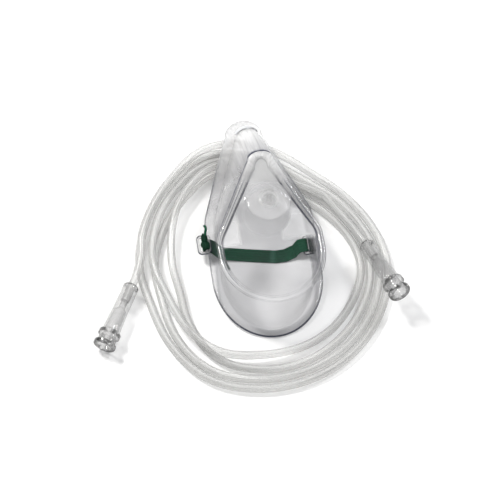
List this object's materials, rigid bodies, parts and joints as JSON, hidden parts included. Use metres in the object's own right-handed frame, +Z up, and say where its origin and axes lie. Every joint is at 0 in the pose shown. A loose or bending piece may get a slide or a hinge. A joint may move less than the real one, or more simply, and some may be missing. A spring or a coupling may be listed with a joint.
{
  "type": "oxygen face mask",
  "caption": "Clear adult oxygen face mask with nose clip, elastic strap and snout adapter, lying in its coiled supply tubing with funnel connectors.",
  "frame": {"origin": "on the table, below the middle of the mask without its tubing", "axes": "+Y towards the nose end of the mask, +X to the right seen from the chin end, +Z up"},
  "size_m": [0.2215, 0.2139, 0.0701],
  "materials": {
    "clear_pvc": "glossy clear soft vinyl",
    "aluminium": "satin",
    "green_elastic": "woven elastic",
    "clear_tubing": "glossy clear soft vinyl"
  },
  "bodies": {
    "root": {"mask_shell": "clear_pvc", "nose_clip": "aluminium", "port_adapter": "clear_pvc", "head_strap": "green_elastic", "oxygen_tube": "clear_tubing", "tube_connector_left": "clear_tubing", "tube_connector_right": "clear_tubing"}
  },
  "joints": []
}
